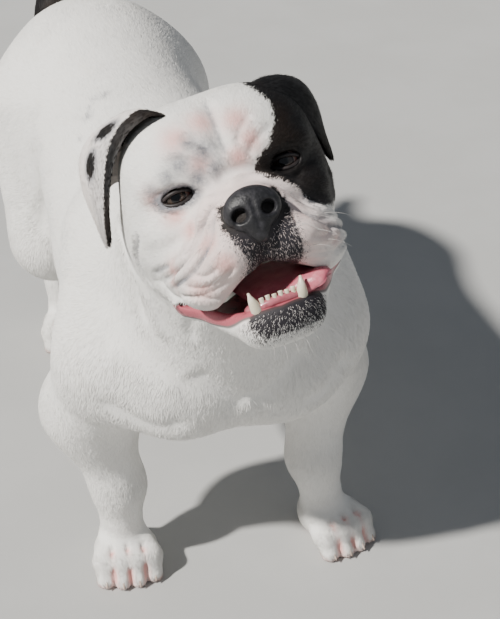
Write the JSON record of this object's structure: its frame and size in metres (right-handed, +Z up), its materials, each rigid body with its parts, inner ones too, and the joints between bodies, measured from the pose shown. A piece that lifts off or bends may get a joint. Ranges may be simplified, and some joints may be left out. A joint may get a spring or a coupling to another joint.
{
  "type": "english bulldog",
  "caption": "Life-size standing bulldog, white with black patches, head turned up and mouth open with its tongue out.",
  "frame": {"origin": "bottom centre of the whole animal's box, on the floor it stands on", "axes": "+Z up, the dog faces -Y and its left side is +X"},
  "size_m": [0.3182, 0.8048, 0.5564],
  "materials": {
    "coat": "short flat white fur with black patches",
    "nose_pad": "moist pebbled black skin",
    "eye": "wet brown eye",
    "tongue": "wet pink flesh",
    "lip": "moist pink and dark lip skin",
    "tooth": "cream enamel",
    "claw": "horn"
  },
  "bodies": {
    "root": {"torso": "coat", "neck": "coat", "head": "coat", "jaw": "coat", "nose": "nose_pad", "tongue": "tongue", "ear_left": "coat", "ear_right": "coat", "eye_left": "eye", "eye_right": "eye", "tail": "coat", "leg_front_left": "coat", "leg_front_right": "coat", "leg_hind_left": "coat", "leg_hind_right": "coat", "paw_front_left": "coat", "paw_front_right": "coat", "paw_hind_left": "coat", "paw_hind_right": "coat"}
  },
  "joints": []
}
